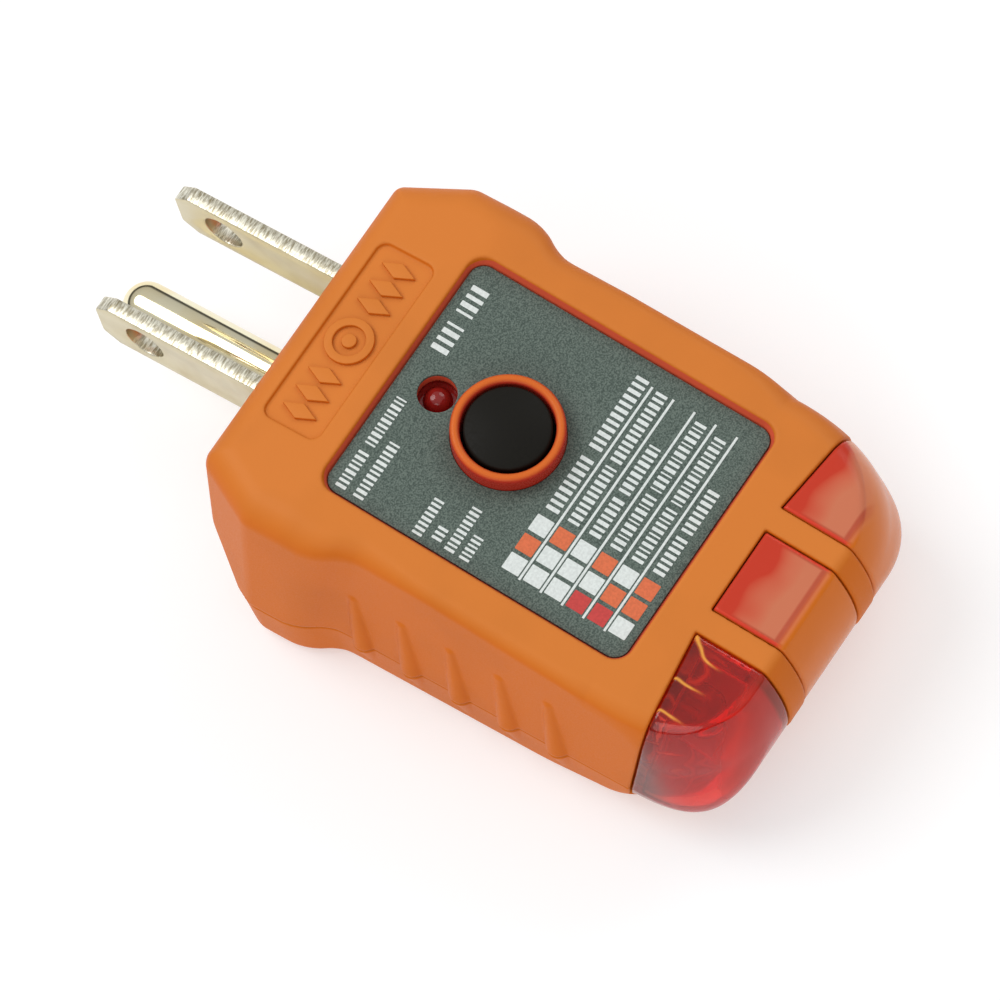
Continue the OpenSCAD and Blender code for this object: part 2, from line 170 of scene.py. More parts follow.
# Indicator
LED_V = -4.07
LED_R = 1.8
LED_WINDOW_W = -6.0  # how deep its window in the case goes

# Lenses
OUTER_LENS_X = 6.9
MID_LENS_X = 4.35
LENS_Y = -46.4
LENS_T = 1.6
LENS_GAP = 0.06
LENS_RIM = 1.1
LENS_DEPTH = 2.75
LENS_BASE_Z = 3.7
LENS_TOP_Z = 19.6
LENS_LEAN = 13.0
LENS_TURN = 7.0
LENS_EDGE_R = 0.3
WINDOW_X = 15.9
WINDOW_Y = 53.0

# Blades and ground pin
BLADE_GAP = 12.7
BLADE_W = 6.35
BLADE_T = 1.52
BLADE_LEN = 17.9
BLADE_HOLE_R = 2.0
BLADE_HOLE_BACK = 5.0
PIN_R = 2.375
PIN_LEN = 22.4
PIN_DROP = 11.9
PIN_COLLAR = 0.5  # how far the collar stands out from the pin
BLADE_Z = PART_Z + PIN_DROP
BLOCK_REAR = -7.5

CENTRE_Y = CAD_BOX[0][1] * 1000 + CASE_LEN  # from the plug face to the frame's middle
GRID = 0.2  # cell of the implicit surfaces
SNAP_ROUNDS = 3  # steps that draw their vertices onto the surface


def to_frame(points):
    """Plug-face millimetres to frame metres."""
    p = np.asarray(points, float).reshape(-1, 3) + [0.0, CENTRE_Y, 0.0]
    return p / 1000


def on_slope(points):
    """Points (x, v, w) on the label slope to plug-face millimetres."""
    p = np.asarray(points, float).reshape(-1, 3)
    c, s = math.cos(SLOPE), math.sin(SLOPE)
    return np.stack([p[:, 0], SLOPE_Y + p[:, 1] * c - p[:, 2] * s, HEAD_Z + p[:, 1] * s + p[:, 2] * c], 1)


# ---- implicit forms
def cut(a, b, r):
    """Intersection of two distance fields with a rounded edge."""
    return np.minimum(np.maximum(a, b), -r) + np.hypot(np.maximum(a + r, 0), np.maximum(b + r, 0))


def join(a, b, r):
    """Union of two distance fields with a filled corner."""
    return -cut(-a, -b, r)


def bend(a, b, k):
    """Intersection of two nearly parallel faces with a soft bend; k is 2 R sin(angle / 2)^2."""
    return np.maximum(a, b) + np.maximum(k - np.abs(a - b), 0)**2 / (4 * k)


def leaned(x, y, z, lean_x, lean_y, z0=PART_Z):
    """Cross-section coordinates of a prism that leans by these angles."""
    a, b = math.radians(lean_x), math.radians(lean_y)
    z = z - z0
    along = x * math.sin(b) + z * math.cos(b)
    return x * math.cos(b) - z * math.sin(b), y * math.cos(a) + along * math.sin(a)


def rounded_box(x, y, w, h, r):
    """Signed distance to a rounded rectangle."""
    qx, qy = np.abs(x) - w / 2 + r, np.abs(y) - h / 2 + r
    return np.hypot(np.maximum(qx, 0), np.maximum(qy, 0)) + np.minimum(np.maximum(qx, qy), 0) - r


def head_side(x, y):
    """The head's side wall, which turns in to the grip through two arcs."""
    height = HEAD_X - GRIP_X + 0.1
    turn = math.acos(1 - height / 2 / STEP_R)
    half = STEP_R * math.sin(turn)
    down = np.clip(STEP_Y - y, 0, 2 * half)
    first = HEAD_X - STEP_R + np.sqrt(np.maximum(STEP_R**2 - np.minimum(down, half)**2, 0))
    rest = np.minimum(2 * half - down, half)
    second = HEAD_X - height + STEP_R - np.sqrt(np.maximum(STEP_R**2 - rest**2, 0))
    return (x - np.where(down < half, first, second)) * STEP_SQUEEZE


def bevel_face(x, y, z, lean, at, angle, z0=PART_Z):
    """A slanted face through a point of the plan, on a prism that leans."""
    turn = math.radians(angle)
    bx, by = leaned(x, y, z, *lean, z0)
    return (bx - at[0]) * math.cos(turn) + (by - at[1]) * math.sin(turn)


def side_field(x, y, z, upper):
    """The drafted side walls, with the head's shoulders and the plug end's bevels."""
    x = np.abs(x)
    lean = -DRAFT_TOP if upper else DRAFT_BASE
    grip = leaned(x, y, z, 0, lean)[0] - GRIP_X
    head = head_side(*leaned(x, y, z, STEP_LEAN if upper else 0, lean))
    side = -bend(-grip, -head, 0.15)
    lean = SIDE_BEVEL_LEAN[0 if upper else 1]
    side = bend(side, bevel_face(x, y, z, lean, SIDE_BEVEL_AT, SIDE_BEVEL_ANGLE), 0.25)
    tip = bevel_face(x, y, z, TIP_BEVEL_LEAN, TIP_BEVEL_AT, TIP_BEVEL_ANGLE, TIP_BEVEL_Z)
    return bend(side, tip, 0.15)


def nose_field(y, z):
    """The rounded nose, which sets no limit in front of its arcs' centres."""
    upper_y, lower_y = NOSE_UPPER_R - CASE_LEN, NOSE_LOWER_R - CASE_LEN
    upper = np.hypot(np.minimum(y - upper_y, 0), z - NOSE_Z) - NOSE_UPPER_R - np.maximum(y - upper_y, 0)
    lower = np.hypot(np.minimum(y - lower_y, 0), z - NOSE_Z) - NOSE_LOWER_R - np.maximum(y - lower_y, 0)
    return np.where(z > NOSE_Z, upper, lower)


def top_field(y, z):
    """The flat head and the label slope, with a soft bend between them."""
    flat = z - HEAD_Z
    incline = -(y - SLOPE_Y) * math.sin(SLOPE) + (z - HEAD_Z) * math.cos(SLOPE)
    return bend(flat, incline, 0.12)


def plug_face(y, z):
    """The plug end's two faces, which meet at the parting plane."""
    top = math.atan2(FACE_BACK[0], HEAD_Z - PART_Z)
    base = math.atan2(FACE_BACK[1], PART_Z)
    above = (y - FACE_Y) * math.cos(top) + (z - PART_Z) * math.sin(top)
    below = (y - FACE_Y) * math.cos(base) - (z - PART_Z) * math.sin(base)
    return np.where(z > PART_Z, above, below)


def case_field(x, y, z, upper):
    """The whole outer form of the case, with its moulded edge radii."""
    side, nose = side_field(x, y, z, upper), nose_field(y, z)
    on_side = np.clip(0.5 + (side - nose) / 6, 0, 1)
    rounder = np.clip((z - CORNER_Z[0]) / (CORNER_Z[1] - CORNER_Z[0]), 0, 1)
    rounder = rounder**2 * (3 - 2 * rounder)
    corner_r = CORNER_R[0] + (CORNER_R[1] - CORNER_R[0]) * rounder + CORNER_SKEW * np.sign(x)
    wall = cut(cut(side, nose, corner_r), plug_face(y, z), PLUG_EDGE_R)
    if upper:
        on_head = np.clip((y - HEAD_EDGE_Y[0]) / (HEAD_EDGE_Y[1] - HEAD_EDGE_Y[0]), 0, 1)
        softness = HEAD_EDGE_R[0] + (HEAD_EDGE_R[1] - HEAD_EDGE_R[0]) * on_head
        return cut(wall, top_field(y, z), TOP_FRONT_R + (softness - TOP_FRONT_R) * on_side)
    rise = -(z + (y - RISE_Y) * RISE) / math.hypot(1, RISE)
    edge_r = BASE_EDGE_R[0] + (BASE_EDGE_R[1] - BASE_EDGE_R[0]) * on_side
    return cut(wall, bend(-z, rise, 0.3), edge_r)


def slope_frame(y, z):
    """Plug-face Y and Z to the label slope's V and W."""
    c, s = math.cos(SLOPE), math.sin(SLOPE)
    return (y - SLOPE_Y) * c + (z - HEAD_Z) * s, (z - HEAD_Z) * c - (y - SLOPE_Y) * s


def rib_field(x, y, z, upper):
    """Teardrop grip ribs: half-sunk cones that run over the parting plane."""
    x = np.abs(x) - (GRIP_X - RIB_SINK)
    i = np.clip(np.round((RIB_Y - y) / RIB_PITCH), 0, RIB_COUNT - 1)
    y = y - (RIB_Y - i * RIB_PITCH)
    lean = math.radians(DRAFT_TOP + RIB_LEAN[0] if upper else DRAFT_BASE + RIB_LEAN[1])
    height, end_r = RIB_ENDS[0 if upper else 1]
    up = (z - PART_Z) * (1 if upper else -1)
    along = up * math.cos(lean) - x * math.sin(lean)
    out = x * math.cos(lean) + up * math.sin(lean)
    t = np.clip(along / height, 0, 1)
    bulge = RIB_R + (end_r - RIB_R) * t
    return np.sqrt(out**2 + y**2 + (along - t * height)**2) - bulge


def lens_zone(x, y, z, x0, x1, grow):
    """The part of the nose that one lens takes up."""
    lean, turn = math.radians(LENS_LEAN), math.radians(LENS_TURN if x1 > HEAD_X else 0)
    back = (x - OUTER_LENS_X) * math.sin(turn) + (y - LENS_Y) * math.cos(turn)
    back = back * math.cos(lean) + (z - LENS_TOP_Z) * math.sin(lean)
    across = np.maximum(x0 - x, x - x1)
    return np.maximum(np.maximum(across, back), LENS_BASE_Z - z) - grow


def lens_zones(x, y, z, grow):
    """The openings of all three lenses."""
    ax = np.abs(x)
    outer = lens_zone(ax, y, z, OUTER_LENS_X, FAR, grow)
    return np.minimum(outer, lens_zone(ax, y, z, -MID_LENS_X, MID_LENS_X, grow))


def prong_holes(x, y, z):
    """The blades' slots and the ground pin's hole in the plug end."""
    ax = np.abs(x)
    slots = np.maximum(np.abs(ax - BLADE_GAP / 2) - BLADE_T / 2 - GAP,
                       np.abs(z - BLADE_Z) - BLADE_W / 2 - GAP)
    pin = np.hypot(x, z - PART_Z) - PIN_R - PIN_COLLAR - GAP / 2
    return np.maximum(np.minimum(slots, pin), BLOCK_REAR - 0.5 - y)


def from_screw(x, y):
    """Distance in plan to the axis of the nearest screw."""
    return np.minimum.reduce([np.hypot(np.abs(x) - px, y - py) for px, py in SCREW_PLACES])


def top_shell_field(x, y, z):
    """The hollow upper shell, with its recesses, openings and screw posts."""
    outer = case_field(x, y, z, True)
    skin = join(outer, rib_field(x, y, z, True), RIB_FILLET)
    inner = np.maximum(outer + WALL, top_field(y, z) + TOP_WALL)
    d = np.maximum(skin, -inner)
    screw = from_screw(x, y)
    d = np.minimum(d, np.maximum(screw - POST_R[0], outer + WALL / 2))
    v, w = slope_frame(y, z)
    wider = RECESS_GAP + np.clip(w + LABEL_SINK, 0, 1) * RECESS_FLARE
    recess = rounded_box(x, v - LABEL_V, LABEL_W + wider, LABEL_L + wider, RECESS_R)
    d = cut(d, -np.maximum(recess, -w - LABEL_SINK - LABEL_T), LABEL_EDGE_R)
    sign = rounded_box(x, y - SIGN_Y, SIGN_W, SIGN_L, SIGN_R)
    d = cut(d, -np.maximum(sign, HEAD_Z - SIGN_SINK - z), OPENING_EDGE_R)
    d = np.maximum(d, BUTTON_HOLE_R - np.hypot(x, v - BUTTON_V))
    d = np.maximum(d, LED_R + GAP / 2 - np.hypot(x, v - LED_V) - FAR * (w < LED_WINDOW_W))
    d = np.maximum(d, PILOT_R - screw - FAR * (z > PART_Z + PILOT_DEPTH))
    d = cut(d, -lens_zones(x, y, z, LENS_GAP), OPENING_EDGE_R)
    d = np.maximum(d, -prong_holes(x, y, z))
    return cut(d, PART_Z + GAP / 2 - z, PARTING_EDGE_R)


def bottom_shell_field(x, y, z):
    """The hollow lower shell, with its lens openings, screw posts and counterbores."""
    outer = case_field(x, y, z, False)
    skin = join(outer, rib_field(x, y, z, False), RIB_FILLET)
    d = np.maximum(skin, -(outer + WALL))
    screw = from_screw(x, y)
    d = np.minimum(d, np.maximum(screw - POST_R[1], outer))
    d = np.maximum(d, SHANK_HOLE_R - screw)
    d = cut(d, COUNTERBORE_R - screw - FAR * (z > COUNTERBORE_DEPTH), LABEL_EDGE_R)
    d = cut(d, -lens_zones(x, y, z, LENS_GAP), OPENING_EDGE_R)
    d = np.maximum(d, -prong_holes(x, y, z))
    return cut(d, z - PART_Z + GAP / 2, PARTING_EDGE_R)


def lens_field(x0, x1):
    """A lens: a thin wall of the case's form with a deeper rim."""
    if x0 < -MID_LENS_X:
        side, near, far = -1, -x1, -x0
    else:
        side, near, far = 1, x0, x1

    def field(x, y, z):
        outer = np.where(z > PART_Z, case_field(x, y, z, True), case_field(x, y, z, False)) + GAP
        zone = lens_zone(side * x, y, z, near, far, -LENS_GAP)
        hollow = cut(outer + LENS_T, zone + LENS_RIM, LENS_EDGE_R)
        skin = cut(cut(outer, zone, LENS_EDGE_R), -hollow, 0.2)
        return np.maximum(skin, -(outer + LENS_DEPTH))
    return field


def edge_crossings(values, inside):
    """Mean crossing point of each cell's edges, in cells, and how many edges are crossed."""
    n = np.array(values.shape)
    total = np.zeros([*(n - 1), 3], np.float32)
    hits = np.zeros(n - 1, np.float32)
    for axis in range(3):
        a = [slice(None)] * 3
        b = [slice(None)] * 3
        a[axis], b[axis] = slice(0, -1), slice(1, None)
        va, vb = values[tuple(a)], values[tuple(b)]
        crossing = inside[tuple(a)] != inside[tuple(b)]
        t = np.where(crossing, va / np.where(crossing, va - vb, 1), 0)
        others = [k for k in range(3) if k != axis]
        for da in (0, 1):
            for db in (0, 1):
                pick = [slice(None)] * 3
                pick[others[0]] = slice(da, n[others[0]] - 1 + da)
                pick[others[1]] = slice(db, n[others[1]] - 1 + db)
                c = crossing[tuple(pick)]
                hits += c
                total[..., axis] += c * t[tuple(pick)]
                total[..., others[0]] += c * da
                total[..., others[1]] += c * db
    return total, hits


def crossing_quads(inside, index):
    """A quad across each grid edge that the surface crosses, from the cells' vertex numbers."""
    faces = []
    for axis in range(3):
        o1, o2 = [k for k in range(3) if k != axis]
        a = [slice(1, -1)] * 3
        b = [slice(1, -1)] * 3
        a[axis], b[axis] = slice(0, -1), slice(1, None)
        ia, ib = inside[tuple(a)], inside[tuple(b)]
        at = np.argwhere(ia != ib)
        first_inside = ia[ia != ib]
        at[:, o1] += 1
        at[:, o2] += 1
        corner = []
        for d1, d2 in ((1, 1), (0, 1), (0, 0), (1, 0)):
            c = at.copy()
            c[:, o1] -= d1
            c[:, o2] -= d2
            corner.append(index[c[:, 0], c[:, 1], c[:, 2]])
        quad = np.stack(corner, 1)
        if axis == 1:
            first_inside = ~first_inside
        quad[~first_inside] = quad[~first_inside][:, ::-1]
        faces.append(quad)
    return np.concatenate(faces)


def surface(field, low, high):
    """Mesh of a field's zero surface (surface nets), in plug-face millimetres."""
    low = np.asarray(low, float)
    n = np.ceil((np.asarray(high, float) - low) / GRID).astype(int) + 1
    axes = [(low[i] + GRID * np.arange(n[i])).astype(np.float32) for i in range(3)]
    x, y, z = np.meshgrid(*axes, indexing="ij", sparse=True)
    x, y, z = np.broadcast_arrays(x, y, z)
    values = field(x, y, z).astype(np.float32)
    inside = values < 0
    total, hits = edge_crossings(values, inside)
    used = hits > 0
    index = np.full(n - 1, -1, np.int64)
    index[used] = np.arange(used.sum())
    verts = low + GRID * (np.argwhere(used) + total[used] / hits[used][:, None])
    for _ in range(SNAP_ROUNDS):
        value, slope = sample(field, verts)
        step = value[:, None] * slope / np.maximum((slope**2).sum(1), 0.2)[:, None]
        verts -= np.clip(step, -GRID / 2, GRID / 2)
    return verts, crossing_quads(inside, index)


def sample(field, points):
    """A field's value and gradient at some points."""
    eps = 0.02
    x, y, z = points.T
    value = field(x, y, z)
    slope = np.stack([
        field(x + eps, y, z) - field(x - eps, y, z),
        field(x, y + eps, z) - field(x, y - eps, z),
        field(x, y, z + eps) - field(x, y, z - eps)], 1) / (2 * eps)
    return value, slope


# ---- meshes
def link(mesh, name):
    """Put a mesh in the scene as an object."""
    obj = bpy.data.objects.new(name, mesh)
    bpy.context.scene.collection.objects.link(obj)
    return obj


def finish_piece(obj, material, body="case", replaces=()):
    """Give a piece its material, its body and the nodes it stands for."""
    obj.data.materials.clear()
    obj.data.materials.append(material)
    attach(obj, body)
    if replaces:
        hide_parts(*replaces)
    return obj


def mesh_piece(name, verts, faces, smooth_angle=35):
    """An object from plug-face points and faces, smooth but for its sharp edges."""
    mesh = bpy.data.meshes.new(name)
    mesh.from_pydata([tuple(v) for v in to_frame(verts)], [], [tuple(f) for f in faces])
    mesh.update()
    mesh.shade_smooth()
    mesh.set_sharp_from_angle(angle=math.radians(smooth_angle))
    return link(mesh, name)


def implicit_piece(name, field, low, high):
    """An object from a distance field, meshed between two corners."""
    verts, faces = surface(field, low, high)
    mesh = bpy.data.meshes.new(name)
    mesh.vertices.add(len(verts))
    mesh.vertices.foreach_set("co", to_frame(verts).astype(np.float32).ravel())
    mesh.loops.add(4 * len(faces))
    mesh.loops.foreach_set("vertex_index", faces.astype(np.int32).ravel())
    mesh.polygons.add(len(faces))
    mesh.polygons.foreach_set("loop_start", np.arange(0, 4 * len(faces), 4, dtype=np.int32))
    mesh.update(calc_edges=True)
    mesh.validate()
    mesh.shade_smooth()
    return link(mesh, name)


def standing_at(v):
    """How a turned piece is placed that stands on the label slope at V."""
    return lambda points: on_slope(points + [0, v, 0])


def lathe(name, profile, place, segments=96, smooth_angle=35):
    """Turn a profile of (radius, height) about Z; place maps local points to plug-face ones."""
    verts, faces, rings = [], [], []
    for r, h in profile:
        if r < 1e-6:
            rings.append([len(verts)] * segments)
            verts.append((0, 0, h))
            continue
        rings.append([len(verts) + k for k in range(segments)])
        for k in range(segments):
            a = 2 * math.pi * k / segments
            verts.append((r * math.cos(a), r * math.sin(a), h))
    for low, high in zip(rings, rings[1:]):
        for k in range(segments):
            m = (k + 1) % segments
            corners = [low[k], low[m], high[m], high[k]]
            face = [c for i, c in enumerate(corners) if c not in corners[:i]]
            if len(face) > 2:
                faces.append(face)
    return mesh_piece(name, place(np.array(verts)), faces, smooth_angle)


def arc(cx, cy, r, a0, a1, n=8):
    """Points on an arc, angles in degrees."""
    steps = np.radians(np.linspace(a0, a1, n + 1))
    return [(cx + r * math.cos(a), cy + r * math.sin(a)) for a in steps]


def rounded_outline(w, h, r, cx=0.0, cy=0.0, n=8):
    """A rectangle with round corners, as a closed outline."""
    out = []
    for sx, sy, start in ((1, 1, 0), (-1, 1, 90), (-1, -1, 180), (1, -1, 270)):
        out += arc(cx + sx * (w / 2 - r), cy + sy * (h / 2 - r), r, start, start + 90, n)
    return out


def circle_outline(cx, cy, r, n=64):
    """A circle, as a closed outline."""
    return arc(cx, cy, r, 0, 360 - 360 / n, n - 1)


def plate(name, outlines, thickness, place, bevel=0.0):
    """A flat plate with holes, cut from closed outlines, with bevelled edges."""
    curve = bpy.data.curves.new(name, "CURVE")
    curve.dimensions = "2D"
    curve.fill_mode = "BOTH"
    for outline in outlines:
        spline = curve.splines.new("POLY")
        spline.points.add(len(outline) - 1)
        for point, (px, py) in zip(spline.points, outline):
            point.co = (px, py, 0, 1)
        spline.use_cyclic_u = True
    curve.extrude = thickness / 2 - bevel
    curve.bevel_depth = bevel
    curve.bevel_resolution = 2
    curve.offset = -bevel
    maker = bpy.data.objects.new(name + "_maker", curve)
    bpy.context.scene.collection.objects.link(maker)
    mesh = bpy.data.meshes.new_from_object(maker.evaluated_get(bpy.context.evaluated_depsgraph_get()))
    bpy.data.objects.remove(maker)
    co = np.zeros(3 * len(mesh.vertices))
    mesh.vertices.foreach_get("co", co)
    co = co.reshape(-1, 3)
    co[:, 2] += thickness / 2
    mesh.vertices.foreach_set("co", to_frame(place(co)).ravel())
    build = bmesh.new()
    build.from_mesh(mesh)
    bmesh.ops.remove_doubles(build, verts=build.verts, dist=1e-6)
    bmesh.ops.recalc_face_normals(build, faces=build.faces)
    build.to_mesh(mesh)
    build.free()
    mesh.name = name
    mesh.shade_smooth()
    mesh.set_sharp_from_angle(angle=math.radians(30))
    return link(mesh, name)


def tube(name, points, radius, place, sides):
    """A round wire swept along points, with closed ends."""
    p = np.asarray(points, float)
    along = np.gradient(p, axis=0)
    along /= np.linalg.norm(along, axis=1)[:, None]
    side = np.cross(along[0], [0.0, 0.0, 1.0])
    if np.linalg.norm(side) < 1e-3:
        side = np.array([1.0, 0.0, 0.0])
    verts = []
    for here, forward in zip(p, along):
        side = side - forward * (side @ forward)
        side /= np.linalg.norm(side)
        up = np.cross(forward, side)
        for k in range(sides):
            a = 2 * math.pi * k / sides
            verts.append(here + radius * (math.cos(a) * side + math.sin(a) * up))
    faces = []
    for i in range(len(p) - 1):
        for k in range(sides):
            m = (k + 1) % sides
            faces.append([i * sides + k, i * sides + m, (i + 1) * sides + m, (i + 1) * sides + k])
    faces.append(list(range(sides))[::-1])
    faces.append([(len(p) - 1) * sides + k for k in range(sides)])
    return mesh_piece(name, place(np.array(verts)), faces)


# ---- materials
class Nodes:
    """A material under construction: its node tree with a few short calls."""

    def __init__(self, name, color, roughness=0.5, metallic=0.0, **sockets):
        self.material = bpy.data.materials.new(name)
        self.material.use_nodes = True
        self.tree = self.material.node_tree
        self.shader = self.tree.nodes["Principled BSDF"]
        self.shader.inputs["Base Color"].default_value = (*color, 1)
        self.shader.inputs["Roughness"].default_value = roughness
        self.shader.inputs["Metallic"].default_value = metallic
        for key, value in sockets.items():
            self.shader.inputs[key.replace("_", " ")].default_value = value
        self.where = self.add("ShaderNodeTexCoord").outputs["Object"]

    def add(self, kind, inputs=None, **settings):
        """A node with its settings, and each input linked or set."""
        node = self.tree.nodes.new(kind)
        for key, value in settings.items():
            setattr(node, key, value)
        for key, value in (inputs or {}).items():
            if hasattr(value, "is_linked"):
                self.tree.links.new(value, node.inputs[key])
            else:
                node.inputs[key].default_value = value
        return node

    def noise(self, size_mm, detail=2.0, stretch=(1, 1, 1), rough=0.5):
        """Noise whose features are about size_mm across."""
        scale = [1000 / size_mm / k for k in stretch]
        mapped = self.add("ShaderNodeMapping", {"Vector": self.where, "Scale": scale})
        return self.add("ShaderNodeTexNoise", {"Vector": mapped.outputs["Vector"], "Scale": 1.0,
                                               "Detail": detail, "Roughness": rough}).outputs["Fac"]

    def ramp(self, fac, low, high, a, b, clamp=True):
        """Map fac from low..high to a..b."""
        return self.add("ShaderNodeMapRange", {"Value": fac, "From Min": low, "From Max": high,
                                               "To Min": a, "To Max": b}, clamp=clamp).outputs["Result"]

    def mix(self, fac, a, b, blend="MIX"):
        """Blend two colours, each an output or a plain colour."""
        node = self.add("ShaderNodeMix", data_type="RGBA", blend_type=blend)
        for socket, value in ((node.inputs[0], fac), (node.inputs[6], a), (node.inputs[7], b)):
            if hasattr(value, "is_linked"):
                self.tree.links.new(value, socket)
            elif isinstance(value, (int, float)):
                socket.default_value = value
            else:
                socket.default_value = (*value, 1)
        return node.outputs[2]

    def part(self, output, axis):
        """One coordinate of the object's own place or normal."""
        vector = self.add("ShaderNodeTexCoord").outputs[output]
        return self.add("ShaderNodeSeparateXYZ", {"Vector": vector}).outputs[axis]

    def along_window(self):
        """0 at a lens's rear edge, 1 at the crease where its window ends."""
        place = self.part("Object", "Y")
        return self.ramp(place, (CENTRE_Y + LENS_Y) / 1000, (CENTRE_Y - WINDOW_Y) / 1000, 0, 1, False)

    def window_mask(self):
        """1 on a lens's flat window on the label side, 0 where the lens wraps the nose and the sides."""
        off_middle = self.math("ABSOLUTE", self.part("Object", "X"))
        inside = self.ramp(off_middle, WINDOW_X / 1000 - 0.0003, WINDOW_X / 1000 + 0.0003, 1, 0)
        return self.math("MULTIPLY", self.ramp(self.along_window(), 0.95, 1.05, 1, 0), inside)

    def math(self, operation, a, b=0.0):
        """A sum on one or two values, each an output or a number."""
        node = self.add("ShaderNodeMath", operation=operation)
        for socket, value in zip(node.inputs, (a, b)):
            if hasattr(value, "is_linked"):
                self.tree.links.new(value, socket)
            else:
                socket.default_value = value
        return node.outputs[0]

    def into(self, socket, value):
        """Feed an output to one of the shader's inputs."""
        self.tree.links.new(value, self.shader.inputs[socket])

    def bump(self, height, strength, depth_mm):
        """Surface relief from a height output."""
        node = self.add("ShaderNodeBump", {"Height": height, "Strength": strength,
                                           "Distance": depth_mm / 1000})
        self.into("Normal", node.outputs["Normal"])


def recess_shade_mask(m):
    """1 on the walls of the label's recess, where shade is painted as a redder tone, 0 on the rest of the
    case.
    """
    middle = to_frame(on_slope([[0, LABEL_V, 0]]))[0]
    radius = (RECESS_R + 0.2) / 1000
    off_middle = m.math("SUBTRACT", m.part("Object", "Y"), middle[1])
    beyond = []
    for place, half in ((m.part("Object", "X"), LABEL_W / 2), (off_middle, LABEL_L / 2 * math.cos(SLOPE))):
        straight = m.math("SUBTRACT", m.math("ABSOLUTE", place), (half + 0.4) / 1000 - radius)
        beyond.append(m.math("POWER", m.math("MAXIMUM", straight, 0.0), 2.0))
    inside = m.math("LESS_THAN", m.math("SQRT", m.math("ADD", *beyond)), radius)
    return m.math("MULTIPLY", inside, m.math("GREATER_THAN", m.part("Object", "Z"), (PART_Z + 6) / 1000))


def moulded_plastic(name, color, side, roughness, grain=0.35, mottling=0.06, recess=None):
    """Spark-eroded mould texture: a fine even grain, with painted light: the sides are painted deeper in tone
    than the top, as shade, and the top paler, as the light it catches.
    """
    m = Nodes(name, color, roughness, Specular_IOR_Level=0.1)
    # painted light: up-facing normals get the lit top colour, the others the shaded side colour
    lit_top_mask = m.ramp(m.part("Normal", "Z"), 0.4, 0.95, 0, 1)
    painted_light_tone = m.mix(lit_top_mask, side, color)
    # painted shade: a redder tone on the walls of the label's recess
    if recess:
        painted_light_tone = m.mix(recess_shade_mask(m), painted_light_tone, recess)
    drift = m.ramp(m.noise(14, 3), 0.35, 0.65, 1 - mottling, 1 + mottling)
    m.into("Base Color", m.mix(1.0, painted_light_tone, m.mix(drift, (0, 0, 0), (1, 1, 1)), "MULTIPLY"))
    fine = m.noise(0.16, 2)
    coarse = m.noise(0.42, 2)
    m.into("Roughness", m.ramp(fine, 0.3, 0.7, roughness - 0.05, roughness + 0.07))
    m.bump(m.math("ADD", m.math("MULTIPLY", fine, 0.6), m.math("MULTIPLY", coarse, 0.4)), grain, 0.03)
    return m.material


def label_film():
    """The label's grey film with a fine speckle."""
    m = Nodes("label_film", (0.11, 0.14, 0.125), 0.45, Specular_IOR_Level=0.25)
    speckle = m.noise(0.15, 2)
    grain = m.ramp(speckle, 0.38, 0.62, 0, 1)
    m.into("Base Color", m.mix(grain, (0.052, 0.075, 0.064), (0.135, 0.175, 0.150)))
    m.bump(speckle, 0.3, 0.03)
    return m.material


def printed(name, color):
    """Ink on the label, slightly uneven."""
    m = Nodes(name, color, 0.5, Specular_IOR_Level=0.35)
    fine = m.noise(0.25, 2)
    m.into("Base Color", m.mix(m.ramp(fine, 0.35, 0.65, 0, 1), tuple(0.86 * c for c in color), color))
    m.bump(fine, 0.2, 0.02)
    return m.material


def tinted_lens(name, deep, pale, nose):
    """Tinted plastic: a see-through window on the label side, milky where it wraps the nose."""
    m = Nodes(name, deep, 0.22, IOR=1.49, Specular_IOR_Level=0.12, Coat_Weight=0.06, Coat_Roughness=0.05)
    along, window = m.along_window(), m.window_mask()
    facing_up = m.ramp(m.part("Normal", "Z"), 0.35, 0.6, 0, 1)
    depth = m.math("ADD", along, m.ramp(m.noise(5, 1), 0.3, 0.7, -0.15, 0.15))
    pane = m.ramp(depth, 0.35, 0.62, 0, 1)
    across = m.math("ABSOLUTE", m.part("Object", "X"))
    divider = (OUTER_LENS_X + MID_LENS_X) / 2000
    off = m.math("ABSOLUTE", m.math("SUBTRACT", across, divider))
    border = m.ramp(off, 0.0016, 0.0019, 1, 0)
    crease = m.ramp(m.math("ABSOLUTE", m.math("SUBTRACT", along, 0.95)), 0.03, 0.06, 1, 0)
    border = m.math("MAXIMUM", border, m.math("MULTIPLY", crease, 0.6))
    inside = m.mix(border, m.mix(pane, deep, pale), deep)
    m.into("Base Color", m.mix(m.math("MULTIPLY", window, facing_up), nose, inside))
    solid = m.math("MAXIMUM", border, m.ramp(pane, 0, 1, 0.85, 0.62))
    clear = m.math("MULTIPLY", m.math("MULTIPLY", window, facing_up), m.math("SUBTRACT", 1.0, solid))
    m.into("Alpha", m.math("SUBTRACT", 0.98, clear))
    m.bump(m.noise(3.0, 2), 0.04, 0.05)
    return m.material


